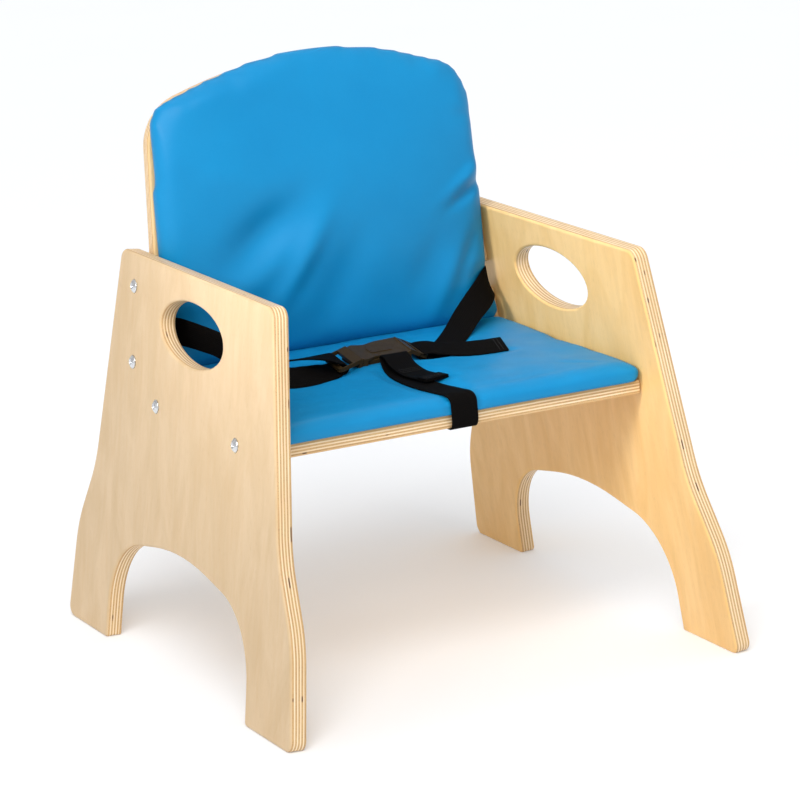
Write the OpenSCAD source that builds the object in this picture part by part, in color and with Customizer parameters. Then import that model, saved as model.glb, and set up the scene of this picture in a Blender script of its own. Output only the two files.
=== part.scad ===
// Toddler armchair: two splayed plywood side panels, a plywood seat and back,
// vinyl cushions on hook-and-loop strips, and a webbing lap belt with a crotch strap.
// +Z is up, the chair faces -Y, and the origin is on the floor under the middle.

/* [Side panels] */
// Thickness of each side panel
panel_t = 15; // [13:0.5:16]
// Outer width across the two panels at the floor
floor_w = 440; // [430:1:450]
// Inward lean of each panel, in degrees
splay = 7.3; // [6.5:0.1:8]
// Height of a panel, measured along its slope
panel_h = 350; // [345:1:360]
// Half the front-to-back length at the floor
foot_half = 230.5; // [225:0.5:240]
// Half the front-to-back length of the top edge
top_half = 151.5; // [148:0.5:156]
// Half the width of the arch at the floor
arch_half = 142.5; // [136:0.5:145]
// Height of the hand hole's centre along the slope
hole_v = 300; // [296:1:304]
// Half the length of the oval hand hole
hole_a = 62.5; // [50:0.5:66]
// Half the height of the oval hand hole
hole_b = 27; // [22:0.5:29]

/* [Seat and back] */
// Thickness of the seat and back boards
board_t = 12; // [11.5:0.5:13]
// Height of the seat board's top face
seat_z = 228; // [226:0.5:230]
// Front edge of the seat board
seat_front = -134; // [-138:1:-130]
// Recline of the back board, in degrees
recline = 4.3; // [3.5:0.1:5]
// Height of the middle of the back board's top edge
back_top_z = 500; // [490:1:510]
// Height of the lower edge of the notches that the lap belt passes through
notch_low = 266; // [264:1:268]
// Height of the upper edge of those notches
notch_high = 291; // [288:1:293]

/* [Cushions] */
// Thickness of the seat cushion
seat_pad_t = 11; // [10:0.5:11]
// Thickness of the back cushion
back_pad_t = 15; // [12:0.5:18]
// Thickness of the vinyl cover
vinyl_t = 0.8; // [0.6:0.1:1]
// Thickness of each hook or loop strip
strip_t = 1; // [0.8:0.1:1.2]

/* [Belt] */
// Width of the webbing
web_w = 25; // [24:0.5:26]
// Thickness of the webbing
web_t = 1.5; // [1.2:0.1:1.6]
// Width of the buckle
buckle_w = 31; // [30:0.5:32]
// Thickness of the buckle
buckle_t = 12; // [11.5:0.5:12.5]

/* [Fasteners] */
// Diameter of the connector bolt's shank
bolt_d = 6; // [5.5:0.1:6]
// Diameter of its domed head
bolt_head_d = 12.6; // [11.5:0.1:13]

/* [Hidden] */
$fn = 64;

birch = "#e6c898";
birch_warm = "#eccf96";
vinyl = "#1e87c8";
black = "#151515";
plastic = "#2b2119";
steel = "#c9ccd0";

long = 400;             // longer than any piece is wide
panel_x = floor_w / 2;  // outer face of a panel at the floor
inner_x = panel_x - panel_t / cos(splay);
back_y = 117.9;         // back board's middle plane at back_z
back_z = 286;
seat_rear = back_y - (back_z - seat_z) * tan(recline) - board_t / 2 - 2;

// ---- outlines ----

// Arc that rounds the corner at b between a and c with radius r
function corner(a, b, c, r) =
    let (u = (a - b) / norm(a - b), w = (c - b) / norm(c - b))
    let (half = acos(max(-1, min(1, u * w))) / 2)
    let (m = (u + w) / norm(u + w), o = b + m * r / sin(half))
    let (p = b + u * r / tan(half), q = b + w * r / tan(half))
    let (a0 = atan2(p[1] - o[1], p[0] - o[0]), a1 = atan2(q[1] - o[1], q[0] - o[0]))
    let (sweep = (a1 - a0 + 540) % 360 - 180, n = max(2, ceil(abs(sweep) / 6)))
    [for (i = [0:n]) o + r * [cos(a0 + sweep * i / n), sin(a0 + sweep * i / n)]];

// Closed outline through [x, y, radius] corners
function rounded(pts) =
    [for (i = [0:len(pts) - 1])
        let (a = pts[(i + len(pts) - 1) % len(pts)], b = pts[i], c = pts[(i + 1) % len(pts)])
        each corner([a[0], a[1]], [b[0], b[1]], [c[0], c[1]], b[2])];

// Corners of one half followed by its mirror image
function both_halves(half) =
    concat(half, [for (i = [len(half) - 1:-1:0]) [-half[i][0], half[i][1], half[i][2]]]);

// Smooth curve through the points, with n steps between two of them
function spline_at(p, i, t) =
    let (a = p[max(i - 1, 0)], b = p[i], c = p[i + 1], d = p[min(i + 2, len(p) - 1)])
    0.5 * (2 * b + (c - a) * t + (2 * a - 5 * b + 4 * c - d) * t * t
        + (3 * b - a - 3 * c + d) * t * t * t);
function spline(p, n) =
    concat([for (i = [0:len(p) - 2], k = [0:n - 1]) spline_at(p, i, k / n)], [p[len(p) - 1]]);

function unit(v) = v / norm(v);

// ---- placing ----

// Side panel's own plane: x runs front to back, y up the slope, z out of the outer face
module on_panel(side) {
    mirror([side < 0 ? 1 : 0, 0, 0])
        translate([panel_x, 0, 0])
            rotate([0, -splay, 0])
                rotate([90, 0, 90])
                    children();
}

// Back board's own plane: x across, y up the slope from seat height, z towards the front
module on_back() {
    translate([0, back_y - (back_z - seat_z) * tan(recline), seat_z])
        rotate([90 - recline, 0, 0])
            children();
}

// Space between the inner faces of the two side panels
module between_panels() {
    rotate([90, 0, 0])
        linear_extrude(2 * long, center = true)
            polygon([[-inner_x, 0], [inner_x, 0],
                [inner_x - panel_h * tan(splay), panel_h], [-inner_x + panel_h * tan(splay), panel_h]]);
}

// Distance from the centre plane to a panel's inner face at height z
function inner_at(z) = inner_x - z * tan(splay);

// ---- side panels ----

knee_top = [186, 151];
knee_low = [219, 89.5];
seat_bolt_y = [-97, 62.5];
seat_bolt_v = 226;
back_bolt_v = [255, 321];
function back_plane_y(z) = back_y + (z - back_z) * tan(recline);
bolt_spots = [[seat_bolt_y[0], seat_bolt_v], [seat_bolt_y[1], seat_bolt_v],
    [back_plane_y(back_bolt_v[0] * cos(splay)), back_bolt_v[0]],
    [back_plane_y(back_bolt_v[1] * cos(splay)), back_bolt_v[1]]];

module panel_outline() {
    outer = [[foot_half, 0, 10], [knee_low[0], knee_low[1], 108],
        [knee_top[0], knee_top[1], 125], [top_half, panel_h, 11]];
    arch = [[arch_half, 0, 4], [arch_half - 4, 88, 68], [0, 113.5, 300]];
    inside = [for (i = [1:2]) arch[i]];
    polygon(rounded(concat(
        [arch[0]], outer, [for (i = [3:-1:0]) [-outer[i][0], outer[i][1], outer[i][2]]],
        [[-arch[0][0], 0, 4], [-inside[0][0], inside[0][1], inside[0][2]], inside[1], inside[0]])));
}

module hand_hole() {
    polygon([for (i = [0:71]) [hole_a * cos(i * 5), hole_v + hole_b * sin(i * 5)]]);
}

module side_panel(side) {
    difference() {
        on_panel(side)
            translate([0, 0, -panel_t])
                difference() {
                    linear_extrude(panel_t)
                        difference() {
                            panel_outline();
                            hand_hole();
                        }
                    for (p = bolt_spots)
                        translate([p[0], p[1], -1])
                            cylinder(h = panel_t + 2, d = bolt_d + 0.4);
                }
        // feet are cut level with the floor
        translate([-long, -long, -20]) cube([2 * long, 2 * long, 20]);
    }
}

module side_panel_left() { color(birch) side_panel(-1); }
module side_panel_right() { color(birch_warm) side_panel(1); }

// ---- connector bolts and barrel nuts ----

bolt_len = 37;
bolt_head_h = 3;
nut_depth = 15;  // from a board's end to the middle of its barrel nut
nut_d = 10;

module connector_bolt() {
    head_h = bolt_head_h;
    sphere_r = (pow(bolt_head_d / 2, 2) + head_h * head_h) / (2 * head_h);
    difference() {
        union() {
            intersection() {
                translate([0, 0, head_h - sphere_r]) sphere(sphere_r);
                cylinder(h = head_h + 1, d = bolt_head_d + 1);
            }
            translate([0, 0, -bolt_len]) cylinder(h = bolt_len + 0.5, d = bolt_d);
        }
        translate([0, 0, 1]) cylinder(h = head_h, d = 4.6, $fn = 6);
    }
}

module bolts(side) {
    color(steel)
        on_panel(side)
            for (p = bolt_spots)
                translate([p[0], p[1], 0]) connector_bolt();
}

module panel_bolts_left() { bolts(-1); }
module panel_bolts_right() { bolts(1); }

// Bores for the bolts, cut from the ends of a board
module bolt_bores(spots) {
    for (side = [-1, 1])
        on_panel(side)
            for (p = spots)
                translate([p[0], p[1], -bolt_len - 1]) cylinder(h = bolt_len + 2, d = bolt_d + 0.02);
}

// A barrel nut's axis runs through the thickness of its board
module seat_nut_place() {
    for (side = [-1, 1], i = [0, 1])
        translate([side * (inner_at(seat_z) - nut_depth), seat_bolt_y[i], seat_z - board_t]) children();
}

module back_nut_place() {
    for (side = [-1, 1], v = back_bolt_v)
        on_back()
            translate([side * (inner_at(v * cos(splay)) - nut_depth),
                (v - 5 - seat_z) / cos(recline) + 1, -board_t / 2])
                children();
}

module seat_barrel_nuts() {
    color(steel)
        difference() {
            seat_nut_place() translate([0, 0, 0.5]) cylinder(h = board_t - 1, d = nut_d);
            bolt_bores([bolt_spots[0], bolt_spots[1]]);
        }
}

module back_barrel_nuts() {
    color(steel)
        difference() {
            back_nut_place() translate([0, 0, 0.5]) cylinder(h = board_t - 1, d = nut_d);
            bolt_bores([bolt_spots[2], bolt_spots[3]]);
        }
}

// ---- boards ----

module seat_board() {
    color(birch)
        difference() {
            intersection() {
                between_panels();
                translate([-long / 2, seat_front, seat_z - board_t])
                    cube([long, seat_rear - seat_front, board_t]);
            }
            bolt_bores([bolt_spots[0], bolt_spots[1]]);
            seat_nut_place() translate([0, 0, -1]) cylinder(h = board_t - 0.5 + 1, d = nut_d + 0.02);
            translate([crotch_anchor[0], crotch_anchor[1], seat_z - board_t - 1])
                cylinder(h = 10, d = screw_d + 0.02);
        }
}

back_bottom = -10;   // below seat height, along the slope
back_shoulder = [155, 240];
back_shoulder_r = 47;
notch_x = 137;

module back_outline() {
    top = (back_top_z - seat_z) / cos(recline);
    arm_z = panel_h * cos(splay);
    half = [[inner_at(seat_z + back_bottom), back_bottom, 0.5],
        [inner_at(arm_z), (arm_z - seat_z) / cos(recline), 3],
        [back_shoulder[0], back_shoulder[1], back_shoulder_r]];
    polygon(rounded(concat(half, [[0, top + 16, 360]],
        [for (i = [2:-1:0]) [-half[i][0], half[i][1], half[i][2]]])));
}

module belt_notches() {
    low = (notch_low - seat_z) / cos(recline);
    high = (notch_high - seat_z) / cos(recline);
    for (m = [0, 1])
        mirror([m, 0])
            polygon(rounded([[notch_x, low, 5], [inner_x, low, 1], [inner_x, high, 1], [notch_x, high, 5]]));
}

module back_board() {
    color(birch)
        difference() {
            intersection() {
                union() {
                    between_panels();
                    translate([-long / 2, 0, panel_h * cos(splay)]) cube([long, long, long]);
                }
                on_back()
                    translate([0, 0, -board_t / 2])
                        linear_extrude(board_t)
                            difference() {
                                back_outline();
                                belt_notches();
                            }
            }
            bolt_bores([bolt_spots[2], bolt_spots[3]]);
            back_nut_place() translate([0, 0, -1]) cylinder(h = board_t - 0.5 + 1, d = nut_d + 0.02);
            for (side = [-1, 1])
                on_back()
                    translate([side * belt_anchor_x, belt_anchor_s, -board_t / 2 - 1])
                        cylinder(h = 10, d = screw_d + 0.02);
        }
}

// ---- cushions ----

seat_pad_z = seat_z + 2 * strip_t;
seat_pad_front = seat_front - 3;
seat_pad_rear = 102;
seam_len = 160;
seam_gap = 0.6;

module seat_pad_outline(inset) {
    front = inner_at(seat_pad_z + seat_pad_t) - 2 - inset;
    polygon(rounded(both_halves([[front, seat_pad_front + inset, 16], [front, seat_pad_rear - inset, 8]])));
}

module seat_pad_solid(inset) {
    translate([0, 0, seat_pad_z + inset])
        linear_extrude(seat_pad_t - 2 * inset) seat_pad_outline(inset);
}

module seat_cushion_foam() { color("#d8d2b8") seat_pad_solid(vinyl_t); }

module seat_cushion_cover() {
    color(vinyl)
        difference() {
            seat_pad_solid(0);
            seat_pad_solid(vinyl_t);
            // closing seam in the rear edge
            translate([-seam_len / 2, seat_pad_rear - 3, seat_pad_z + seat_pad_t / 2])
                cube([seam_len, 6, seam_gap]);
        }
}

back_pad_low = 17;   // above seat height, along the slope
// Corners up one side, round the dent that the belt passes
back_pad_side = [[158, back_pad_low, 10], [156, 34, 5], [133, 40, 5], [133, 62, 5], [154, 70, 10],
    [150, 236, 47]];

module back_pad_outline(inset) {
    peak = (back_top_z - seat_z) / cos(recline) + 12;
    other_side = [for (i = [len(back_pad_side) - 1:-1:0])
        [-back_pad_side[i][0], back_pad_side[i][1], back_pad_side[i][2]]];
    offset(delta = -inset)
        polygon(rounded(concat(back_pad_side, [[0, peak, 340]], other_side)));
}

module back_pad_solid(inset) {
    on_back()
        translate([0, 0, board_t / 2 + 2 * strip_t + inset])
            linear_extrude(back_pad_t - 2 * inset) back_pad_outline(inset);
}

module back_cushion_foam() { color("#d8d2b8") back_pad_solid(vinyl_t); }

module back_cushion_cover() {
    color(vinyl)
        difference() {
            back_pad_solid(0);
            back_pad_solid(vinyl_t);
            // closing seam in the lower edge
            on_back()
                translate([-seam_len / 2, back_pad_low - 3, board_t / 2 + 2 * strip_t + back_pad_t / 2])
                    cube([seam_len, 6, seam_gap]);
        }
}

// Two hook strips are stuck to each board, and two loop strips to each cushion
module seat_strips(level) {
    for (side = [-1, 1])
        translate([side * 110 - 12.5, -95, seat_z + level * strip_t])
            cube([25, 150, strip_t]);
}

module back_strips(level) {
    for (side = [-1, 1])
        on_back()
            translate([side * 95 - 12.5, 90, board_t / 2 + level * strip_t])
                cube([25, 120, strip_t]);
}

module seat_hook_strips() { color(black) seat_strips(0); }
module seat_loop_strips() { color("#2a2a2e") seat_strips(1); }
module back_hook_strips() { color(black) back_strips(0); }
module back_loop_strips() { color("#2a2a2e") back_strips(1); }

// ---- belt ----

screw_d = 4;
washer_d = 16;
washer_t = 1.2;
crotch_anchor = [3, -92];
belt_anchor_x = 152;
belt_anchor_s = 12;  // above seat height, along the slope

// Each row is a point on the middle of the webbing and the way its width points there
crotch_path = [
    [[3, -80, 214.9], [1, 0, 0]], [[3, -104, 214.9], [1, 0, 0]], [[2, -128, 214.9], [1, 0, 0]],
    [[1.5, -136, 216.4], [1, 0, 0]], [[1.5, -138.6, 222], [1, 0, 0]], [[1, -139, 232], [1, 0, 0]],
    [[0.5, -138.4, 240], [1, 0, 0]], [[-1, -133, 244.2], [1, 0, 0]], [[-4, -120, 244.6], [1, -0.12, 0]],
    [[-8, -100, 244.4], [1, -0.1, 0]], [[-10, -76, 244.4], [1, 0.02, 0]],
    [[-9, -52, 244.8], [1, 0.12, 0]], [[-5, -32, 246], [1, 0.1, 0]], [[-2, -20, 250], [1, 0.04, 0]],
    [[-1.5, -16.6, 254], [1, 0, 0]], [[-1.5, -19, 256.6], [1, 0, 0]], [[-2, -26, 255.4], [1, 0.06, 0]],
    [[-3, -40, 250.6], [1, 0.1, 0]], [[-2, -58, 247.4], [1, 0.16, 0]], [[1, -74, 247.2], [1, 0.2, 0]],
    [[4, -88, 247.2], [1, 0.24, 0]]];

strap_right_path = [
    [[152, 121.2, 231], [-1, 0, 0]], [[152, 122.3, 246], [-1, 0, 0]], [[152, 123.2, 258], [-1, 0, 0]],
    [[152, 123.6, 265], [-1, 0, 0]], [[152.5, 121, 270.4], [-1, 0, 0.05]], [[156.5, 112, 277.5], [-0.6, 0, 0.8]],
    [[159.5, 103, 278.3], [-0.15, 0, 1]], [[153, 91.5, 275.5], [-0.6, 0, 0.8]], [[140, 79, 269.5], [-0.84, 0.15, 0.5]],
    [[114.6, 60, 258.6], [-0.58, 0.75, 0.32]], [[90, 36, 250.6], [-0.62, 0.76, 0.15]], [[66, 13, 246], [-0.4, 0.9, 0.16]],
    [[54, 5, 244.6], [-0.2, 1, 0.15]], [[44, 2.5, 244.8], [-0.06, 1, 0.22]], [[34, 2.5, 245.1], [-0.04, 1, 0.22]],
    [[30.6, 3, 247.8], [-0.04, 1, 0.22]], [[33.6, 3, 251], [-0.04, 1, 0.22]], [[42, 1, 251.7], [-0.08, 1, 0.22]],
    [[52, -4, 250.2], [-0.16, 1, 0.24]], [[68, -11, 248.4], [-0.24, 1, 0.24]], [[88, -18, 248.6], [-0.2, 1, 0.24]],
    [[106, -22, 249.4], [-0.1, 1, 0.24]]];

strap_left_path = [
    [[-152, 121.2, 231], [-1, 0, 0]], [[-152, 122.3, 246], [-1, 0, 0]], [[-152, 123.2, 258], [-1, 0, 0]],
    [[-152, 123.6, 265], [-1, 0, 0]], [[-152.5, 121, 270.4], [-1, 0, 0.05]], [[-156.5, 112, 277.5], [-0.6, 0, 0.8]],
    [[-158, 103, 279.5], [-0.15, 0, 1]], [[-156.5, 92, 280.4], [-0.05, 0, 1]], [[-154, 76, 281], [-0.05, 0, 1]],
    [[-151, 50, 281], [-0.1, 0, 1]], [[-147, 26, 279.5], [-0.15, 0.1, 1]], [[-136, 2, 271.5], [-0.1, 0.2, 1]],
    [[-120, -13, 260.5], [-0.1, 0.45, 0.85]], [[-100, -18, 251], [-0.17, 0.75, 0.64]], [[-78, -12, 248.4], [-0.2, 0.84, 0.5]],
    [[-60, -3.5, 246.8], [-0.16, 0.95, 0.36]], [[-50, 1.8, 246.2], [-0.06, 1, 0.22]], [[-43.5, 2.1, 247.5], [-0.06, 1, 0.22]],
    [[-41.5, 1.4, 251], [-0.06, 1, 0.22]], [[-44.9, 0.3, 254.9], [-0.06, 1, 0.22]], [[-50, 0.3, 256.4], [-0.04, 1, 0.18]],
    [[-58, 1, 258], [0.02, 1, 0]], [[-74, 3.5, 259.2], [0.12, 1, -0.2]], [[-96, 7, 259.5], [0.2, 1, -0.28]],
    [[-122, 11, 258.5], [0.2, 1, -0.3]]];

// Flat webbing swept along a path, its edges kept square to the run
module webbing(path, steps) {
    mid = spline([for (p = path) p[0]], steps);
    way = spline([for (p = path) unit(p[1])], steps);
    last = len(mid) - 1;
    rings = [for (i = [0:last])
        let (run = unit(mid[min(i + 1, last)] - mid[max(i - 1, 0)]))
        let (face = unit(cross(run, way[i])), wide = unit(cross(face, run)))
        for (c = [[-1, -1], [1, -1], [1, 1], [-1, 1]])
            mid[i] + wide * c[0] * web_w / 2 + face * c[1] * web_t / 2];
    sides = [for (i = [0:last - 1], k = [0:3])
        let (a = i * 4 + k, b = i * 4 + (k + 1) % 4)
        each [[a, b, b + 4], [a, b + 4, a + 4]]];
    ends = [[0, 2, 1], [0, 3, 2], [last * 4, last * 4 + 1, last * 4 + 2],
        [last * 4, last * 4 + 2, last * 4 + 3]];
    polyhedron(points = rings, faces = [for (f = concat(sides, ends)) [f[0], f[2], f[1]]]);
}

// Anchor places: one under the seat, two behind the back board
module at_anchors() {
    translate([crotch_anchor[0], crotch_anchor[1], seat_z - board_t]) rotate([180, 0, 0]) children();
    for (side = [-1, 1])
        on_back()
            translate([side * belt_anchor_x, belt_anchor_s, -board_t / 2])
                rotate([180, 0, 0])
                    children();
}

module anchor_bores() { at_anchors() translate([0, 0, -1]) cylinder(h = 6, d = screw_d + 0.3); }

module belt_strap_left() { color(black) difference() { webbing(strap_left_path, 3); anchor_bores(); } }
module belt_strap_right() { color(black) difference() { webbing(strap_right_path, 3); anchor_bores(); } }
module crotch_strap() { color(black) difference() { webbing(crotch_path, 3); anchor_bores(); } }

anchor_lift = 2.2;   // washers stand on the webbing

module belt_washers() {
    color(steel)
        at_anchors()
            translate([0, 0, anchor_lift])
                difference() {
                    cylinder(h = washer_t, d = washer_d);
                    translate([0, 0, -1]) cylinder(h = 4, d = screw_d + 0.3);
                }
}

module belt_screws() {
    color(steel)
        at_anchors() {
            translate([0, 0, -8]) cylinder(h = 8 + anchor_lift + washer_t, d = screw_d);
            translate([0, 0, anchor_lift + washer_t])
                difference() {
                    intersection() {
                        cylinder(h = 2.4, d = 8);
                        translate([0, 0, -3.2]) sphere(5.4);
                    }
                    translate([0, 0, 1]) cylinder(h = 3, d = 2.6, $fn = 6);
                }
        }
}

// ---- buckle ----

buckle_at = [-4, 3.5, 252];
buckle_yaw = 3.5;
buckle_tilt = 12.5;
body_half = 25;      // half the length of the socket's body
prong_root = [-26, 9.6];
prong_len = 29;
prong_root_r = 1.7;
cavity_half = 13.9;
plug_gap = 0.4;      // between the plug's collar and the socket's mouth

// Buckle's own space: x along the belt, y across it, z out of its top face
module in_buckle() {
    translate(buckle_at) rotate([buckle_tilt, 0, buckle_yaw]) children();
}

module socket_outline(inset) {
    w = buckle_w / 2 - inset;
    polygon(rounded(both_halves_y([[body_half - inset, w, 3], [2, w - 0.5, 20], [-10, w - 3.6, 8],
        [-body_half + 5, w, 3], [-body_half, w - 1.5, 2]])));
}

// Corners on the +y side followed by their mirror image on the -y side
function both_halves_y(half) =
    concat(half, [for (i = [len(half) - 1:-1:0]) [half[i][0], -half[i][1], half[i][2]]]);

module ladder(sign, len, droop, slots) {
    t = 3.6;
    translate([sign * body_half, 0, buckle_t / 2 - t / 2])
        rotate([0, sign * droop, 0])
            difference() {
                translate([0, 0, -t / 2])
                    linear_extrude(t)
                        polygon(rounded([[-sign * 3, buckle_w / 2 - 1, 0.4], [sign * len, buckle_w / 2 - 1, 4],
                            [sign * len, -buckle_w / 2 + 1, 4], [-sign * 3, -buckle_w / 2 + 1, 0.4]]));
                for (s = slots)
                    translate([sign * s[0] - s[1] / 2, -web_w / 2 - 0.8, -t])
                        cube([s[1], web_w + 1.6, 2 * t]);
            }
}

module buckle_socket() {
    wall = 2.2;
    color(plastic)
        in_buckle() {
            difference() {
                translate([0, 0, -buckle_t / 2]) linear_extrude(buckle_t) socket_outline(0);
                // hollow for the plug, open at the mouth and through both side windows
                translate([-body_half - 1, -cavity_half, -buckle_t / 2 + wall])
                    cube([body_half * 2 - 6, 2 * cavity_half, buckle_t - 2 * wall]);
                translate([-body_half + 5, -buckle_w, -buckle_t / 2 + wall])
                    cube([23, 2 * buckle_w, buckle_t - 2 * wall]);
            }
            // blank raised rectangle on the top face
            translate([-1, 0, buckle_t / 2 - 0.5])
                linear_extrude(1.1)
                    polygon(rounded([[-11, -6, 2], [11, -6, 2], [11, 6, 2], [-11, 6, 2]]));
            ladder(1, 19, 27, [[6, 5], [14, 5]]);
        }
}

module buckle_plug() {
    color(plastic)
        in_buckle() {
            difference() {
                union() {
                    translate([-body_half - plug_gap - 3, -buckle_w / 2 + 0.5, -buckle_t / 2])
                        cube([3, buckle_w - 1, buckle_t]);
                    translate([-plug_gap - 3, 0, 0]) ladder(-1, 20, 16, [[11, 10]]);
                }
                for (s = [-1, 1])
                    translate([prong_root[0], s * prong_root[1], -4]) {
                        cylinder(h = 8, r = prong_root_r + 0.1);
                        translate([0, -prong_root_r - 0.4, 0]) cube([2, 2 * prong_root_r + 0.8, 8]);
                    }
            }
            // middle guide tongue
            translate([-body_half - 1, -3, -2.4]) cube([30, 6, 4.8]);
        }
}

module prong(side) {
    h = 6.4;
    r = prong_root_r;
    color(plastic)
        in_buckle()
            translate([prong_root[0], side * prong_root[1], -h / 2])
                mirror([0, side < 0 ? 1 : 0, 0])
                    linear_extrude(h)
                        polygon(rounded([[-r, -r, r - 0.01], [prong_len - 4, -2.2, 2], [prong_len, -0.4, 1.6],
                            [20, 4, 7], [8.6, 3.6, 1], [8, r, 0.5], [-r, r, r - 0.01]]));
}

module buckle_prong_front() { prong(-1); }
module buckle_prong_rear() { prong(1); }

side_panel_left();
side_panel_right();
seat_board();
back_board();
seat_hook_strips();
seat_loop_strips();
seat_cushion_foam();
seat_cushion_cover();
back_hook_strips();
back_loop_strips();
back_cushion_foam();
back_cushion_cover();
panel_bolts_left();
panel_bolts_right();
seat_barrel_nuts();
back_barrel_nuts();
belt_strap_left();
belt_strap_right();
crotch_strap();
belt_screws();
belt_washers();
buckle_socket();
buckle_plug();
buckle_prong_front();
buckle_prong_rear();
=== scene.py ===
"""Looks of the toddler armchair: birch plywood, blue vinyl cushions, black webbing and a side-release buckle.

Lengths are in metres in the chair's own frame: +Z up, the chair faces -Y, origin on the floor under the middle.
"""

import math

import bpy
import numpy as np
from mathutils import Matrix, Vector, noise
from mathutils.geometry import tessellate_polygon


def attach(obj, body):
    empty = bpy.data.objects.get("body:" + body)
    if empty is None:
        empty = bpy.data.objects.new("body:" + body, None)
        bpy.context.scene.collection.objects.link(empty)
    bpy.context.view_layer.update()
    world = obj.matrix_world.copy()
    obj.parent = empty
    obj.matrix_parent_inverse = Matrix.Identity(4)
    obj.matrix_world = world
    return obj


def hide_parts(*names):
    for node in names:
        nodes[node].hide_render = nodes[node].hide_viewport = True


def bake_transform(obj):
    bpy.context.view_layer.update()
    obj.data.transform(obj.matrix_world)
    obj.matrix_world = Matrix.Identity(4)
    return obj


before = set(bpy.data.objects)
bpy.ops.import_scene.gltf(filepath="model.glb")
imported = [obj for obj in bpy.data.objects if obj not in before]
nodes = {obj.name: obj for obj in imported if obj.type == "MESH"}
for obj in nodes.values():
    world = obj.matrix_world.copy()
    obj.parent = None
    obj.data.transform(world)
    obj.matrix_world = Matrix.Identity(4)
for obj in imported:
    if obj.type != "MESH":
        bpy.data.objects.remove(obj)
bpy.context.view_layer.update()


# ---------------------------------------------------------------- dimensions

MM = 0.001
PANEL_T, FLOOR_W = 15 * MM, 440 * MM
SPLAY, RECLINE = math.radians(7.3), math.radians(4.3)
BOARD_T, SEAT_Z, SEAT_FRONT, SEAT_REAR = 12 * MM, 228 * MM, -134 * MM, 105.5 * MM
BACK_Y, BACK_Z = 117.9 * MM, 286 * MM
WEB_W, WEB_T = 25 * MM, 1.5 * MM
INNER_X = FLOOR_W / 2 - PANEL_T / math.cos(SPLAY)


def inner_at(z):
    """Distance from the middle plane to a panel's inner face at height z."""
    return INNER_X - z * math.tan(SPLAY)


# ---------------------------------------------------------------- node materials


class Shader:
    """A Principled material with short calls for the nodes that drive it."""

    def __init__(self, name, **inputs):
        self.material = bpy.data.materials.new(name)
        self.material.use_nodes = True
        self.tree = self.material.node_tree
        self.surface = self.tree.nodes["Principled BSDF"]
        for key, value in inputs.items():
            self.set(key.replace("_", " "), value)

    def set(self, socket, value):
        target = self.surface.inputs[socket]
        if isinstance(value, bpy.types.NodeSocket):
            self.tree.links.new(value, target)
        else:
            target.default_value = value

    def feed(self, node, index, value):
        if value is None:
            return
        if isinstance(value, bpy.types.NodeSocket):
            self.tree.links.new(value, node.inputs[index])
        else:
            node.inputs[index].default_value = value

    def coords(self, output="Object"):
        return self.tree.nodes.new("ShaderNodeTexCoord").outputs[output]

    def split(self, vector):
        node = self.tree.nodes.new("ShaderNodeSeparateXYZ")
        self.feed(node, 0, vector)
        return node.outputs[0], node.outputs[1], node.outputs[2]

    def join(self, x, y, z):
        node = self.tree.nodes.new("ShaderNodeCombineXYZ")
        for index, value in enumerate((x, y, z)):
            self.feed(node, index, value)
        return node.outputs[0]

    def stretched(self, x, by_x, y, by_y, z, by_z):
        """A vector of three values, each multiplied by its own number."""
        scaled_x = self.math("MULTIPLY", x, by_x)
        scaled_y = self.math("MULTIPLY", y, by_y)
        return self.join(scaled_x, scaled_y, self.math("MULTIPLY", z, by_z))

    def math(self, operation, a, b=None, c=None):
        node = self.tree.nodes.new("ShaderNodeMath")
        node.operation = operation
        for index, value in enumerate((a, b, c)):
            self.feed(node, index, value)
        return node.outputs[0]

    def span(self, value, low, high, to_low=0.0, to_high=1.0):
        """Maps low..high to to_low..to_high, held at both ends."""
        node = self.tree.nodes.new("ShaderNodeMapRange")
        for index, item in enumerate((value, low, high, to_low, to_high)):
            self.feed(node, index, item)
        return node.outputs[0]

    def noise(self, vector, scale, detail=3.0, rough=0.5, distortion=0.0):
        node = self.tree.nodes.new("ShaderNodeTexNoise")
        self.feed(node, 0, vector)
        node.inputs["Scale"].default_value = scale
        node.inputs["Detail"].default_value = detail
        node.inputs["Roughness"].default_value = rough
        node.inputs["Distortion"].default_value = distortion
        return node.outputs["Fac"]

    def cells(self, vector, scale):
        node = self.tree.nodes.new("ShaderNodeTexVoronoi")
        self.feed(node, 0, vector)
        node.inputs["Scale"].default_value = scale
        return node.outputs["Distance"]

    def mix(self, share, a, b, blend="MIX"):
        node = self.tree.nodes.new("ShaderNodeMix")
        node.data_type = "RGBA"
        node.blend_type = blend
        self.feed(node, 0, share)
        self.feed(node, 6, a if isinstance(a, bpy.types.NodeSocket) else (*a, 1))
        self.feed(node, 7, b if isinstance(b, bpy.types.NodeSocket) else (*b, 1))
        return node.outputs[2]

    def bump(self, height, strength, distance):
        node = self.tree.nodes.new("ShaderNodeBump")
        node.inputs["Strength"].default_value = strength
        node.inputs["Distance"].default_value = distance
        self.feed(node, node.inputs.find("Height"), height)
        self.set("Normal", node.outputs[0])


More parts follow.
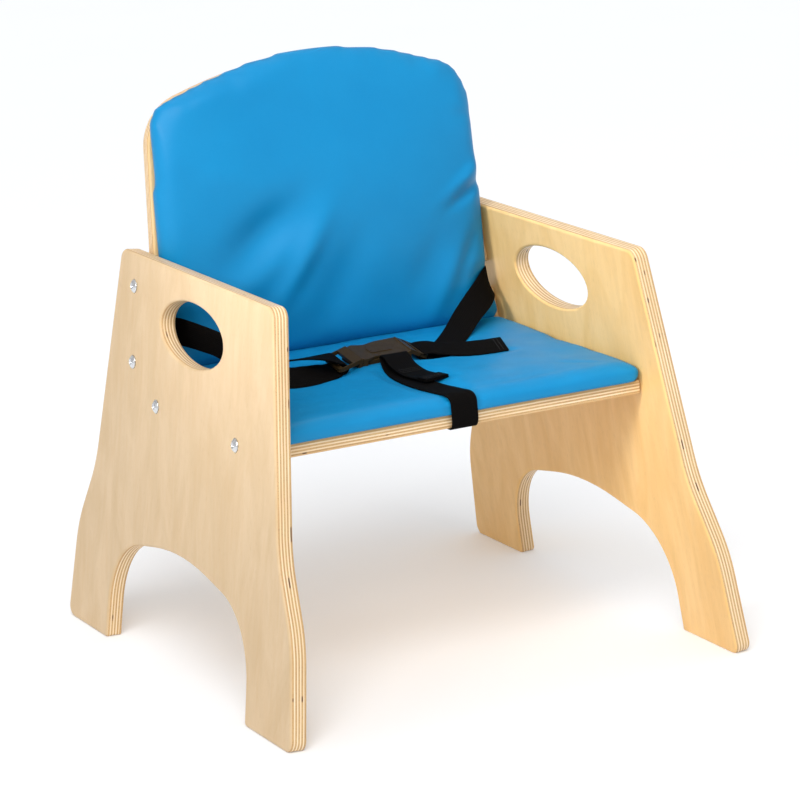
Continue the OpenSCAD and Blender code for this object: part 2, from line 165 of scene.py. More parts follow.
def birch_plywood(name, thickness, plies, seed, warmth_and_painted_light=0.0):
    """Plies stacked along local Z, face grain along local Y, all from object coordinates."""
    s = Shader(name, Specular_IOR_Level=0.35, Coat_Weight=0.06, Coat_Roughness=0.3)
    x, y, z = s.split(s.coords())
    place = s.join(s.math("ADD", x, seed), s.math("ADD", y, seed * 2.3), z)
    waver = s.math("MULTIPLY", s.math("SUBTRACT", s.noise(place, 22.0, 3.0), 0.5), 0.0006)
    depth = s.math("MULTIPLY", s.math("ADD", z, waver), plies / thickness)
    ply = s.math("FLOOR", depth)
    odd = s.math("MODULO", s.math("ABSOLUTE", ply), 2.0)
    within = s.math("FRACT", depth)
    px, py, _ = s.split(place)
    # face veneer: long soft figure, fine fibres and short pores
    broad = s.noise(s.join(s.math("MULTIPLY", px, 19.0), s.math("MULTIPLY", py, 6.5), 0.0), 1.0, 4.0, 0.55, 1.8)
    streak = s.noise(s.join(s.math("MULTIPLY", px, 120.0), s.math("MULTIPLY", py, 17.0), 0.0), 1.0, 4.0, 0.6, 0.8)
    pores = s.noise(s.join(s.math("MULTIPLY", px, 1300.0), s.math("MULTIPLY", py, 130.0), 0.0), 1.0, 1.0)
    # The last argument shifts the face colours: a warmer tone on the seat and back, and painted light and shade on the
    # side panels.
    light = (0.710 + 0.16 * warmth_and_painted_light, 0.510 + 0.06 * warmth_and_painted_light, 0.290 - 0.05 * warmth_and_painted_light)
    mid = (0.650 + 0.16 * warmth_and_painted_light, 0.450 + 0.05 * warmth_and_painted_light, 0.235 - 0.05 * warmth_and_painted_light)
    face = s.mix(s.span(broad, 0.36, 0.64), light, mid)
    face = s.mix(s.span(streak, 0.42, 0.74, 0.0, 0.20), face, (0.60, 0.38, 0.18))
    face = s.mix(s.span(pores, 0.60, 0.74, 0.0, 0.20), face, (0.42, 0.25, 0.12))
    # ply edges: long-grain plies pale, cross-grain plies browner with end-grain speckle
    along = s.noise(s.stretched(px, 14.0, py, 14.0, ply, 3.7), 1.0, 3.0)
    speck = s.noise(s.stretched(px, 1300.0, py, 1300.0, z, 1300.0), 1.0, 2.0)
    pale = s.mix(s.span(along, 0.35, 0.65), (0.88, 0.72, 0.49), (0.80, 0.60, 0.36))
    brown = s.mix(s.span(along, 0.35, 0.65), (0.63, 0.40, 0.18), (0.53, 0.31, 0.13))
    brown = s.mix(s.span(speck, 0.52, 0.70, 0.0, 0.55), brown, (0.26, 0.13, 0.05))
    edge = s.mix(odd, pale, brown)
    glue = s.math("MAXIMUM", s.span(within, 0.0, 0.13, 1.0, 0.0), s.span(within, 0.87, 1.0, 0.0, 1.0))
    edge = s.mix(s.math("MULTIPLY", glue, 0.45), edge, (0.36, 0.19, 0.08))
    # small dark gaps in a few inner plies
    gap = s.noise(s.stretched(px, 55.0, py, 55.0, ply, 9.1), 1.0, 0.0)
    edge = s.mix(s.math("MULTIPLY", s.span(gap, 0.76, 0.79), odd), edge, (0.14, 0.06, 0.02))
    inner = s.math("MULTIPLY", s.math("GREATER_THAN", depth, 0.93), s.math("LESS_THAN", depth, plies - 0.93))
    s.set("Base Color", s.mix(inner, face, edge))
    s.set("Roughness", s.span(streak, 0.3, 0.7, 0.36, 0.48))
    rough_edge = s.math("MULTIPLY", s.math("MULTIPLY", inner, speck), 0.6)
    s.bump(s.math("ADD", s.math("MULTIPLY", streak, 0.4), rough_edge), 0.10, 0.0004)
    return s.material


def vinyl_cloth(name):
    """Coated vinyl: even blue, fine pebbled grain, faint handling wear."""
    s = Shader(name, Specular_IOR_Level=0.20)
    place = s.coords()
    grain = s.cells(place, 1150.0)
    fine = s.noise(place, 2600.0, 2.0)
    patch = s.noise(place, 14.0, 3.0)
    blue = s.mix(s.span(patch, 0.35, 0.65), (0.003, 0.208, 0.455), (0.004, 0.224, 0.480))
    s.set("Base Color", s.mix(s.span(grain, 0.35, 0.8, 0.0, 0.05), blue, (0.04, 0.30, 0.60)))
    s.set("Roughness", s.span(s.noise(place, 35.0, 4.0), 0.3, 0.7, 0.36, 0.46))
    s.bump(s.math("ADD", s.math("MULTIPLY", grain, 0.7), s.math("MULTIPLY", fine, 0.3)), 0.16, 0.0003)
    return s.material


def woven_webbing(name):
    """Narrow ribs along the webbing, each crossed by its yarns; UV is metres along and across."""
    s = Shader(name, Roughness=0.7, Specular_IOR_Level=0.02)
    u, v, _ = s.split(s.coords("UV"))
    rib_at = s.math("MULTIPLY", v, 1 / 0.00195)
    rib = s.math("ABSOLUTE", s.math("SINE", s.math("MULTIPLY", rib_at, math.pi)))
    shift = s.math("MULTIPLY", s.math("FLOOR", rib_at), 0.5)
    yarn = s.math("SINE", s.math("MULTIPLY", s.math("ADD", s.math("MULTIPLY", u, 1 / 0.0017), shift), 2 * math.pi))
    height = s.math("ADD", s.math("MULTIPLY", rib, 0.6), s.math("MULTIPLY", yarn, 0.25))
    fuzz = s.noise(s.join(s.math("MULTIPLY", u, 2400.0), s.math("MULTIPLY", v, 2400.0), 0.0), 1.0, 2.0)
    tone = s.mix(s.span(height, 0.0, 0.8), (0.0014, 0.0012, 0.0012), (0.0060, 0.0052, 0.0050))
    s.set("Base Color", s.mix(s.span(fuzz, 0.5, 0.8, 0.0, 0.3), tone, (0.016, 0.015, 0.014)))
    s.bump(height, 0.55, 0.0003)
    return s.material


def moulded_plastic(name):
    s = Shader(name, Specular_IOR_Level=0.08)
    place = s.coords()
    # The plastic's own colour is near black; its brown tint is a painted reflection of the wood round the buckle.
    s.set("Base Color", s.mix(s.noise(place, 60.0, 3.0), (0.030, 0.018, 0.007), (0.050, 0.031, 0.012)))
    s.set("Roughness", s.span(s.noise(place, 180.0, 4.0), 0.3, 0.7, 0.27, 0.42))
    s.bump(s.noise(place, 2200.0, 2.0), 0.08, 0.0002)
    return s.material


def zinc_steel(name):
    s = Shader(name, Metallic=1.0)
    place = s.coords()
    s.set("Base Color", s.mix(s.noise(place, 260.0, 3.0), (0.62, 0.63, 0.65), (0.80, 0.80, 0.81)))
    s.set("Roughness", s.span(s.noise(place, 500.0, 3.0), 0.3, 0.7, 0.18, 0.34))
    s.bump(s.noise(place, 1800.0, 2.0), 0.06, 0.0001)
    return s.material


def tape(name, dark, light):
    s = Shader(name, Roughness=0.95, Sheen_Weight=0.3)
    place = s.coords()
    loops = s.cells(place, 1300.0)
    s.set("Base Color", s.mix(s.span(loops, 0.1, 0.7), dark, light))
    s.bump(loops, 0.8, 0.0006)
    return s.material


def open_foam(name):
    s = Shader(name, Roughness=0.95)
    place = s.coords()
    pores = s.cells(place, 700.0)
    s.set("Base Color", s.mix(s.span(pores, 0.1, 0.6), (0.42, 0.38, 0.26), (0.66, 0.62, 0.47)))
    s.bump(pores, 0.7, 0.0008)
    return s.material


def sewing_thread(name):
    s = Shader(name, Roughness=0.7, Specular_IOR_Level=0.1)
    twist = s.noise(s.coords(), 3200.0, 1.0)
    s.set("Base Color", s.mix(twist, (0.010, 0.010, 0.011), (0.028, 0.027, 0.027)))
    s.bump(twist, 0.4, 0.0002)
    return s.material


def floor_paper(name):
    s = Shader(name, Roughness=0.75, Specular_IOR_Level=0.2, Emission_Strength=0.11)
    place = s.coords()
    s.set("Base Color", s.mix(s.noise(place, 3.0, 2.0), (0.86, 0.88, 0.91), (0.88, 0.90, 0.93)))
    s.set("Emission Color", (0.97, 0.98, 1.0, 1.0))
    return s.material


VINYL = vinyl_cloth("vinyl_blue")
WEBBING = woven_webbing("webbing_black")
THREAD = sewing_thread("thread_black")
PLASTIC = moulded_plastic("buckle_plastic")
STEEL = zinc_steel("zinc_steel")
HOOKS = tape("hook_tape", (0.004, 0.004, 0.004), (0.03, 0.03, 0.03))
LOOPS = tape("loop_tape", (0.010, 0.010, 0.012), (0.05, 0.05, 0.06))
FOAM = open_foam("foam")

# ---------------------------------------------------------------- meshes


class Parts:
    """Collects vertices and faces of one piece."""

    def __init__(self):
        self.points, self.faces, self.slots, self.uv = [], [], [], []

    def add(self, points, faces, slot=0, uv=None):
        first = len(self.points)
        self.points += [tuple(p) for p in points]
        self.uv += uv or [(0.0, 0.0)] * len(points)
        self.faces += [[first + i for i in face] for face in faces]
        self.slots += [slot] * len(faces)

    def build(self, name, materials, place=None):
        mesh = bpy.data.meshes.new(name)
        mesh.from_pydata(self.points, [], self.faces)
        for material in materials:
            mesh.materials.append(material)
        mesh.polygons.foreach_set("material_index", self.slots)
        mesh.polygons.foreach_set("use_smooth", [True] * len(mesh.polygons))
        layer = mesh.uv_layers.new(name="UVMap")
        for loop in mesh.loops:
            layer.data[loop.index].uv = self.uv[loop.vertex_index]
        mesh.update()
        piece = bpy.data.objects.new(name, mesh)
        bpy.context.scene.collection.objects.link(piece)
        if place is not None:
            piece.matrix_world = place
        return piece


def rounded(corners, step=3.0):
    """Closed outline through (x, y, radius) corners."""
    out = []
    for i, (bx, by, radius) in enumerate(corners):
        ax, ay, _ = corners[i - 1]
        cx, cy, _ = corners[(i + 1) % len(corners)]
        a, b, c = Vector((ax, ay)), Vector((bx, by)), Vector((cx, cy))
        u, w = (a - b).normalized(), (c - b).normalized()
        half = math.acos(max(-1, min(1, u.dot(w)))) / 2
        centre = b + (u + w).normalized() * radius / math.sin(half)
        p, q = b + u * radius / math.tan(half), b + w * radius / math.tan(half)
        a0 = math.atan2(p.y - centre.y, p.x - centre.x)
        a1 = math.atan2(q.y - centre.y, q.x - centre.x)
        sweep = (a1 - a0 + 3 * math.pi) % (2 * math.pi) - math.pi
        count = max(2, math.ceil(abs(math.degrees(sweep)) / step))
        for k in range(count + 1):
            t = a0 + sweep * k / count
            out.append((centre.x + radius * math.cos(t), centre.y + radius * math.sin(t)))
    return out


def spread(outline, longest):
    """The same outline with its long straight runs cut into steps."""
    out = []
    for i, p in enumerate(outline):
        q = outline[(i + 1) % len(outline)]
        gap = math.dist(p, q)
        if gap < 1e-6:
            continue
        count = max(1, math.ceil(gap / longest))
        out += [(p[0] + (q[0] - p[0]) * k / count, p[1] + (q[1] - p[1]) * k / count) for k in range(count)]
    return out


def turns_left(outline):
    area = sum(a[0] * b[1] - b[0] * a[1] for a, b in zip(outline, outline[1:] + outline[:1]))
    return area > 0


def inset(outline, amount):
    """Outline moved into its own solid by amount; the outline turns left round it."""
    out = []
    for i, p in enumerate(outline):
        a, b, c = Vector(outline[i - 1]), Vector(p), Vector(outline[(i + 1) % len(outline)])
        u, w = (b - a).normalized(), (c - b).normalized()
        n1, n2 = Vector((-u.y, u.x)), Vector((-w.y, w.x))
        n = (n1 + n2).normalized()
        out.append(tuple(b + n * amount / max(0.5, n.dot(n1))))
    return out


def slab(name, outline, holes, thickness, edge, material, place):
    """A board with every edge rounded to radius edge, its faces at local Z 0 and thickness."""
    loops = [outline if turns_left(outline) else outline[::-1]]
    loops += [h[::-1] if turns_left(h) else h for h in holes]
    loops = [spread(loop, 0.02) for loop in loops]
    arc = [math.radians(a) for a in (0, 18, 36, 54, 72, 90)]
    levels = [(0, edge + 0.0007)] + [(edge * (1 - math.cos(a)), edge * (1 - math.sin(a))) for a in arc]
    levels += [(thickness - z, i) for z, i in levels[::-1]]
    parts = Parts()
    rings = []
    for loop in loops:
        count, rows = len(loop), []
        first = len(parts.points)
        for z, amount in levels:
            parts.points += [(p[0], p[1], z) for p in inset(loop, amount)]
            rows.append(first + len(rows) * count)
        parts.uv += [(0.0, 0.0)] * (count * len(levels))
        for r in range(len(rows) - 1):
            for i in range(count):
                j = (i + 1) % count
                parts.faces.append([rows[r] + i, rows[r] + j, rows[r + 1] + j, rows[r + 1] + i])
        rings.append((rows[0], rows[-1], count))
    flat = [[Vector((*parts.points[low + i][:2], 0)) for i in range(count)] for low, _, count in rings]
    index = [(low + i, high + i) for low, high, count in rings for i in range(count)]
    for tri in tessellate_polygon(flat):
        a, b, c = (parts.points[index[i][0]] for i in tri)
        up = (b[0] - a[0]) * (c[1] - a[1]) - (b[1] - a[1]) * (c[0] - a[0]) > 0
        order = tri if up else tri[::-1]
        parts.faces.append([index[i][1] for i in order])
        parts.faces.append([index[i][0] for i in order[::-1]])
    parts.slots = [0] * len(parts.faces)
    return parts.build(name, [material], place)


def both_halves(half):
    return half + [(-x, y, r) for x, y, r in half[::-1]]


def scaled(corners):
    return [tuple(c * MM for c in corner) for corner in corners]


# ---------------------------------------------------------------- wood


def panel_place(side):
    """Local X along the panel, Y up its slope, Z out of its outer face, origin on the inner face's plane."""
    out = Vector((side * math.cos(SPLAY), 0, math.sin(SPLAY)))
    up = Vector((-side * math.sin(SPLAY), 0, math.cos(SPLAY)))
    along = up.cross(out)
    origin = Vector((side * FLOOR_W / 2, 0, 0)) - out * PANEL_T
    return Matrix((
        (along.x, up.x, out.x, origin.x),
        (along.y, up.y, out.y, origin.y),
        (along.z, up.z, out.z, origin.z),
        (0, 0, 0, 1)))


def side_panel(side):
    legs = [(230.5, 0, 10), (219, 89.5, 108), (186, 151, 125), (151.5, 350, 11)]
    arch = [(142.5, 0, 4), (138.5, 88, 68), (0, 113.5, 300)]
    mirror = [(-x, y, r) for x, y, r in legs[::-1]]
    corners = [arch[0]] + legs + mirror + [(-142.5, 0, 4), (-138.5, 88, 68), arch[2], arch[1]]
    hole = [(62.5 * MM * math.cos(math.radians(a)), (300 + 27 * math.sin(math.radians(a))) * MM)
            for a in range(0, 360, 4)]
    word = "left" if side < 0 else "right"
    # The two side panels are lit and shaded copies of one birch: the right panel is painted lighter and warmer for the
    # light on its inner face, the left panel a little darker as painted shade.
    seed, warmth_and_painted_light = (1.7, -0.2) if side < 0 else (4.1, 1.0)
    material = birch_plywood("birch_panel_" + word, PANEL_T, 11, seed, warmth_and_painted_light)
    piece = slab("wood_panel_" + word, rounded(scaled(corners)), [hole], PANEL_T, 2.6 * MM, material, panel_place(side))
    # the feet are cut level with the floor and lightly eased
    place = piece.matrix_world.copy()
    back = place.inverted()
    clear = 0.0004
    for vertex in piece.data.vertices:
        spot = place @ vertex.co
        if spot.z < clear:
            spot.x += side * (spot.z - clear) * math.tan(SPLAY)
            spot.z = clear
            vertex.co = back @ spot
    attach(piece, "chair")
    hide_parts("side_panel_" + word)
    return piece


side_panel(-1)
side_panel(1)


def seat_board():
    front, rear = SEAT_FRONT, SEAT_REAR
    side = inner_at(SEAT_Z) - 0.0002
    corners = [(side, front, 0.002), (side, rear, 0.002)]
    outline = rounded(both_halves(corners))
    # plies stack up from the underside; face grain runs from side to side
    place = Matrix.Translation((0, 0, SEAT_Z - BOARD_T)) @ Matrix.Rotation(math.pi / 2, 4, "Z")
    turned = [(y, -x) for x, y in outline]
    piece = slab("wood_seat", turned, [], BOARD_T, 1.4 * MM, birch_plywood("birch_seat", BOARD_T, 9, 7.3, 0.4), place)
    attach(piece, "chair")
    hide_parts("seat_board")


seat_board()

BACK_FOOT_Y = BACK_Y - (BACK_Z - SEAT_Z) * math.tan(RECLINE)
# X across, Y up the slope from seat height, Z towards the front
BACK_PLACE = Matrix.Translation((0, BACK_FOOT_Y, SEAT_Z)) @ Matrix.Rotation(math.pi / 2 - RECLINE, 4, "X")


def back_board():
    def width(s):
        return inner_at(SEAT_Z + s * MM * math.cos(RECLINE)) / MM - 0.2

    low, high = (266 - 228) / math.cos(RECLINE), (291 - 228) / math.cos(RECLINE)
    arm = (350 * math.cos(SPLAY) - 228) / math.cos(RECLINE)
    half = [(width(-10), -10, 1.5), (width(low), low, 1.2), (137, low, 5), (137, high, 5), (width(high), high, 1.2),
            (width(arm), arm, 3), (155, 240, 47)]
    top = 272.8 + 16
    outline = rounded(scaled(half + [(0, top, 360)] + [(-x, y, r) for x, y, r in half[::-1]]))
    place = BACK_PLACE @ Matrix.Translation((0, 0, -BOARD_T / 2))
    piece = slab("wood_back", outline, [], BOARD_T, 2.4 * MM, birch_plywood("birch_back", BOARD_T, 9, 11.9, 0.4), place)
    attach(piece, "chair")
    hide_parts("back_board")


back_board()

# ---------------------------------------------------------------- belt paths

# Each row: a point on the middle of the webbing in mm, and the way its width points there
CROTCH = [
    ((3, -80, 214.9), (1, 0, 0)), ((3, -104, 214.9), (1, 0, 0)), ((2, -128, 214.9), (1, 0, 0)),
    ((1.5, -136, 216.4), (1, 0, 0)), ((1.5, -138.6, 222), (1, 0, 0)), ((1, -139, 232), (1, 0, 0)),
    ((0.5, -138.4, 240), (1, 0, 0)), ((-1, -133, 244.2), (1, 0, 0)), ((-4, -120, 244.6), (1, -0.12, 0)),
    ((-8, -100, 244.4), (1, -0.1, 0)), ((-10, -76, 244.4), (1, 0.02, 0)),
    ((-9, -52, 244.8), (1, 0.12, 0)), ((-5, -32, 246), (1, 0.1, 0)), ((-2, -20, 250), (1, 0.04, 0)),
    ((-1.5, -16.6, 254), (1, 0, 0)), ((-1.5, -19, 256.6), (1, 0, 0)), ((-2, -26, 255.4), (1, 0.06, 0)),
    ((-3, -40, 250.6), (1, 0.1, 0)), ((-2, -58, 247.4), (1, 0.16, 0)), ((1, -74, 247.2), (1, 0.2, 0)),
    ((4, -88, 247.2), (1, 0.24, 0))]

RIGHT = [
    ((152, 121.2, 231), (-1, 0, 0)), ((152, 122.3, 246), (-1, 0, 0)), ((152, 123.2, 258), (-1, 0, 0)),
    ((152, 123.6, 265), (-1, 0, 0)), ((152.5, 121, 270.4), (-1, 0, 0.05)), ((156.5, 112, 277.5), (-0.6, 0, 0.8)),
    ((159.5, 103, 278.3), (-0.15, 0, 1)), ((153, 91.5, 275.5), (-0.6, 0, 0.8)),
    ((140, 79, 269.5), (-0.84, 0.15, 0.5)),
    ((114.6, 60, 258.6), (-0.58, 0.75, 0.32)), ((90, 36, 250.6), (-0.62, 0.76, 0.15)),
    ((66, 13, 246), (-0.4, 0.9, 0.16)),
    ((54, 5, 244.6), (-0.2, 1, 0.15)), ((44, 2.5, 244.8), (-0.06, 1, 0.22)), ((34, 2.5, 245.1), (-0.04, 1, 0.22)),
    ((30.6, 3, 247.8), (-0.04, 1, 0.22)), ((33.6, 3, 251), (-0.04, 1, 0.22)), ((42, 1, 251.7), (-0.08, 1, 0.22)),
    ((52, -4, 250.2), (-0.16, 1, 0.24)), ((68, -11, 248.4), (-0.24, 1, 0.24)), ((88, -18, 248.6), (-0.2, 1, 0.24)),
    ((106, -22, 249.4), (-0.1, 1, 0.24))]

LEFT = [
    ((-152, 121.2, 231), (-1, 0, 0)), ((-152, 122.3, 246), (-1, 0, 0)), ((-152, 123.2, 258), (-1, 0, 0)),
    ((-152, 123.6, 265), (-1, 0, 0)), ((-152.5, 121, 270.4), (-1, 0, 0.05)), ((-156.5, 112, 277.5), (-0.6, 0, 0.8)),
    ((-158, 103, 279.5), (-0.15, 0, 1)), ((-156.5, 92, 280.4), (-0.05, 0, 1)), ((-154, 76, 281), (-0.05, 0, 1)),
    ((-151, 50, 281), (-0.1, 0, 1)), ((-147, 26, 279.5), (-0.15, 0.1, 1)), ((-136, 2, 271.5), (-0.1, 0.2, 1)),
    ((-120, -13, 260.5), (-0.1, 0.45, 0.85)), ((-100, -18, 251), (-0.17, 0.75, 0.64)),
    ((-78, -12, 248.4), (-0.2, 0.84, 0.5)),
    ((-60, -3.5, 246.8), (-0.16, 0.95, 0.36)), ((-50, 1.8, 246.2), (-0.06, 1, 0.22)),
    ((-43.5, 2.1, 247.5), (-0.06, 1, 0.22)),
    ((-41.5, 1.4, 251), (-0.06, 1, 0.22)), ((-44.9, 0.3, 254.9), (-0.06, 1, 0.22)),
    ((-50, 0.3, 256.4), (-0.04, 1, 0.18)),
    ((-58, 1, 258), (0.02, 1, 0)), ((-74, 3.5, 259.2), (0.12, 1, -0.2)), ((-96, 7, 259.5), (0.2, 1, -0.28)),
    ((-122, 11, 258.5), (0.2, 1, -0.3))]


def spline(points, steps):
    """Catmull-Rom curve through the rows, the same one that the CAD webbing follows."""
    p = [np.array(q, float) for q in points]
    out = []
    for i in range(len(p) - 1):
        a, b, c, d = p[max(i - 1, 0)], p[i], p[i + 1], p[min(i + 2, len(p) - 1)]
        for k in range(steps):
            t = k / steps
            out.append(0.5 * (2 * b + (c - a) * t + (2 * a - 5 * b + 4 * c - d) * t * t
                              + (3 * b - a - 3 * c + d) * t ** 3))
    return np.array(out + [p[-1]])


def unit(v):
    return v / np.linalg.norm(v)


def strap_frame(rows, steps):
    """Middle points in metres, with the unit run, width and face directions at each."""
    mid = spline([r[0] for r in rows], steps) * MM
    way = spline([unit(np.array(r[1], float)) for r in rows], steps)
    last = len(mid) - 1
    frames = []
    for i in range(last + 1):
        run = unit(mid[min(i + 1, last)] - mid[max(i - 1, 0)])
        face = unit(np.cross(run, way[i]))
        frames.append((mid[i], run, unit(np.cross(face, run)), face))
    return frames


def sweep_web(parts, frames, start, width, thick, lift=0.0):
    """Webbing along the frames: flat faces, round edges, UV in metres along and across."""
    half = thick / 2
    flat = width / 2 - half
    edge = [math.radians(a) for a in (-60, -30, 0, 30, 60)]
    ring = [(flat * k / 4, half) for k in range(4, -5, -1)]
    ring += [(-flat - half * math.cos(a), -half * math.sin(a)) for a in edge]
    ring += [(flat * k / 4, -half) for k in range(-4, 5)]
    ring += [(flat + half * math.cos(a), half * math.sin(a)) for a in edge]
    points, uv, faces = [], [], []
    n, run_so_far = len(ring), start
    for i, (mid, run, wide, face) in enumerate(frames):
        if i:
            run_so_far += float(np.linalg.norm(mid - frames[i - 1][0]))
        for w, h in ring:
            points.append(mid + wide * w + face * (h + lift))
            uv.append((run_so_far, w + width / 2 + (0.1 if h < 0 else 0.0)))
    for i in range(len(frames) - 1):
        for k in range(n):
            j = (k + 1) % n
            faces.append([i * n + k, (i + 1) * n + k, (i + 1) * n + j, i * n + j])
    faces.append(list(range(n)))
    faces.append([(len(frames) - 1) * n + k for k in range(n)][::-1])
    parts.add(points, faces, 0, uv)


def stitch(parts, a, b, out, radius=0.00034):
    """One thread stitch from a to b, standing a little proud of the cloth."""
    a, b = np.array(a), np.array(b)
    run = unit(b - a)
    side = unit(np.cross(run, out))
    points, faces = [], []
    for t, fat, rise in ((0, 0.35, -0.5), (0.18, 0.9, 0.3), (0.5, 1, 0.6), (0.82, 0.9, 0.3), (1, 0.35, -0.5)):
        for k in range(6):
            angle = k * math.pi / 3
            points.append(a + (b - a) * t + out * radius * (rise + fat * math.sin(angle))
                          + side * radius * fat * math.cos(angle))
    for i in range(4):
        for k in range(6):
            j = (k + 1) % 6
            faces.append([i * 6 + k, i * 6 + j, (i + 1) * 6 + j, (i + 1) * 6 + k])
    parts.add(points, faces, 1)


def stitch_rows(parts, frames, at, layer, rows, count=9):
    """Rows of stitches across the webbing, at metres back from its end."""
    mids = np.array([f[0] for f in frames])
    gone = np.concatenate([[0], np.cumsum(np.linalg.norm(np.diff(mids, axis=0), axis=1))])
    for k in range(rows):
        want = gone[-1] - at - k * 0.0032
        i = int(np.clip(np.searchsorted(gone, want), 1, len(frames) - 1))
        t = (want - gone[i - 1]) / (gone[i] - gone[i - 1])
        mid = mids[i - 1] * (1 - t) + mids[i] * t
        _, _, wide, face = frames[i]
        level = mid + face * layer
        usable = WEB_W - 0.004
        for c in range(count):
            u0 = -usable / 2 + usable * c / count
            stitch(parts, level + wide * u0, level + wide * (u0 + usable / count * 0.8), face * np.sign(layer))


def tail(frames, length):
    """The last stretch of the webbing, length metres long."""
    gone, kept = 0.0, [frames[-1]]
    for before, after in zip(frames[-2::-1], frames[:0:-1]):
        gone += float(np.linalg.norm(after[0] - before[0]))
        kept.append(before)
        if gone > length:
            break
    return kept[::-1]


def strap(name, rows, hem, side, sewn=()):
    frames = strap_frame(rows, 8)
    parts = Parts()
    sweep_web(parts, frames, 0.0, WEB_W, WEB_T)
    # the end is folded over once and sewn down
    sweep_web(parts, tail(frames, hem), 0.3, WEB_W - 0.0004, WEB_T * 0.95, side * WEB_T * 0.92)
    stitch_rows(parts, frames, hem * 0.35, side * WEB_T * 1.42, 2)
    stitch_rows(parts, frames, hem * 0.35, -side * WEB_T * 0.52, 2)
    for at, layer in sewn:
        stitch_rows(parts, frames, at, layer * WEB_T * 0.52, 3)
    piece = parts.build(name, [WEBBING, THREAD])
    return piece, frames


crotch, crotch_frames = strap("crotch_webbing", CROTCH, 0.011, 1, [(0.034, 1)])
right, right_frames = strap("belt_webbing_right", RIGHT, 0.012, -1)
left, left_frames = strap("belt_webbing_left", LEFT, 0.012, 1)
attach(crotch, "chair")
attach(right, "chair")
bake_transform(left)
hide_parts("crotch_strap")
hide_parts("belt_strap_right")
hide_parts("belt_strap_left")

# ---------------------------------------------------------------- cushions


def final_mesh(obj):
    bpy.context.view_layer.update()
    graph = bpy.context.evaluated_depsgraph_get()
    return bpy.data.meshes.new_from_object(obj.evaluated_get(graph))


def coordinates(mesh):
    co = np.zeros(len(mesh.vertices) * 3, np.float64)
    mesh.vertices.foreach_get("co", co)
    return co.reshape(-1, 3)


def apply_modifiers(obj):
    mesh = final_mesh(obj)
    obj.modifiers.clear()
    obj.data = mesh


def puffed(name, outline, thickness, cell, pressure, cap):
    """A closed cover cut to outline, blown up a little as cloth, in its own flat space with its back at Z 0."""
    loop = outline if turns_left(outline) else outline[::-1]
    parts = Parts()
    n = len(loop)
    parts.add([(x, y, 0) for x, y in loop] + [(x, y, thickness) for x, y in loop],
              [[i, (i + 1) % n, n + (i + 1) % n, n + i] for i in range(n)])
    for tri in tessellate_polygon([[Vector((x, y, 0)) for x, y in loop]]):
        a, b, c = (loop[i] for i in tri)
        up = (b[0] - a[0]) * (c[1] - a[1]) - (b[1] - a[1]) * (c[0] - a[0]) > 0
        order = list(tri) if up else list(tri)[::-1]
        parts.faces.append([n + i for i in order])
        parts.faces.append(order[::-1])
    parts.slots = [0] * len(parts.faces)
    piece = parts.build(name, [VINYL])
    cells = piece.modifiers.new("cells", "REMESH")
    cells.mode = "VOXEL"
    cells.voxel_size = cell
    cells.use_smooth_shade = True
    apply_modifiers(piece)
    rest = coordinates(piece.data)
    cloth = piece.modifiers.new("cloth", "CLOTH")
    cloth.settings.quality = 5
    cloth.settings.mass = 0.25
    cloth.settings.tension_stiffness = 25
    cloth.settings.compression_stiffness = 25
    cloth.settings.bending_stiffness = 1.5
    cloth.settings.use_pressure = True
    cloth.settings.uniform_pressure_force = pressure
    cloth.settings.effector_weights.gravity = 0
    scene = bpy.context.scene
    scene.frame_start, scene.frame_end = 1, 16
    for number in range(1, 17):
        scene.frame_set(number)
    moved = coordinates(final_mesh(piece))
    piece.modifiers.clear()
    scene.frame_set(1)
    step = moved - rest
    length = np.linalg.norm(step, axis=1, keepdims=True)
    step *= np.minimum(1, cap / np.maximum(length, 1e-9))
    piece.data.vertices.foreach_set("co", (rest + step).ravel())
    smooth = piece.modifiers.new("smooth", "SMOOTH")
    smooth.factor = 0.5
    smooth.iterations = 4
    divide = piece.modifiers.new("divide", "SUBSURF")
    divide.levels = divide.render_levels = 1
    apply_modifiers(piece)
    # the blown cover draws in, so it is let out again to the size it was cut for
    shape = coordinates(piece.data)
    for axis in (0, 1):
        low, high = shape[:, axis].min(), shape[:, axis].max()
        want_low, want_high = (pick(p[axis] for p in loop) for pick in (min, max))
        shape[:, axis] = want_low + (shape[:, axis] - low) * (want_high - want_low) / (high - low)
    piece.data.vertices.foreach_set("co", shape.ravel())
    piece.data.polygons.foreach_set("use_smooth", [True] * len(piece.data.polygons))
    piece.data.materials.clear()
    piece.data.materials.append(VINYL)
    return piece


def hill(x, y, at, size, turn=0.0):
    """Soft mound of height 1 centred at a point, with its two radii and its turn in degrees."""
    c, s = math.cos(math.radians(turn)), math.sin(math.radians(turn))
    dx, dy = x - at[0], y - at[1]
    return np.exp(-(((dx * c + dy * s) / size[0]) ** 2 + ((dy * c - dx * s) / size[1]) ** 2))


def settled(mesh, depth):
    """Spreads a push softly to the vertices round it."""
    ends = np.zeros(len(mesh.edges) * 2, np.int64)
    mesh.edges.foreach_get("vertices", ends)
    a, b = ends[0::2], ends[1::2]
    count = np.bincount(ends, minlength=len(depth)).astype(float)
    for _ in range(5):
        total = np.bincount(a, depth[b], len(depth)) + np.bincount(b, depth[a], len(depth))
        depth = np.minimum(depth * 0.96, total / np.maximum(count, 1))
    return depth


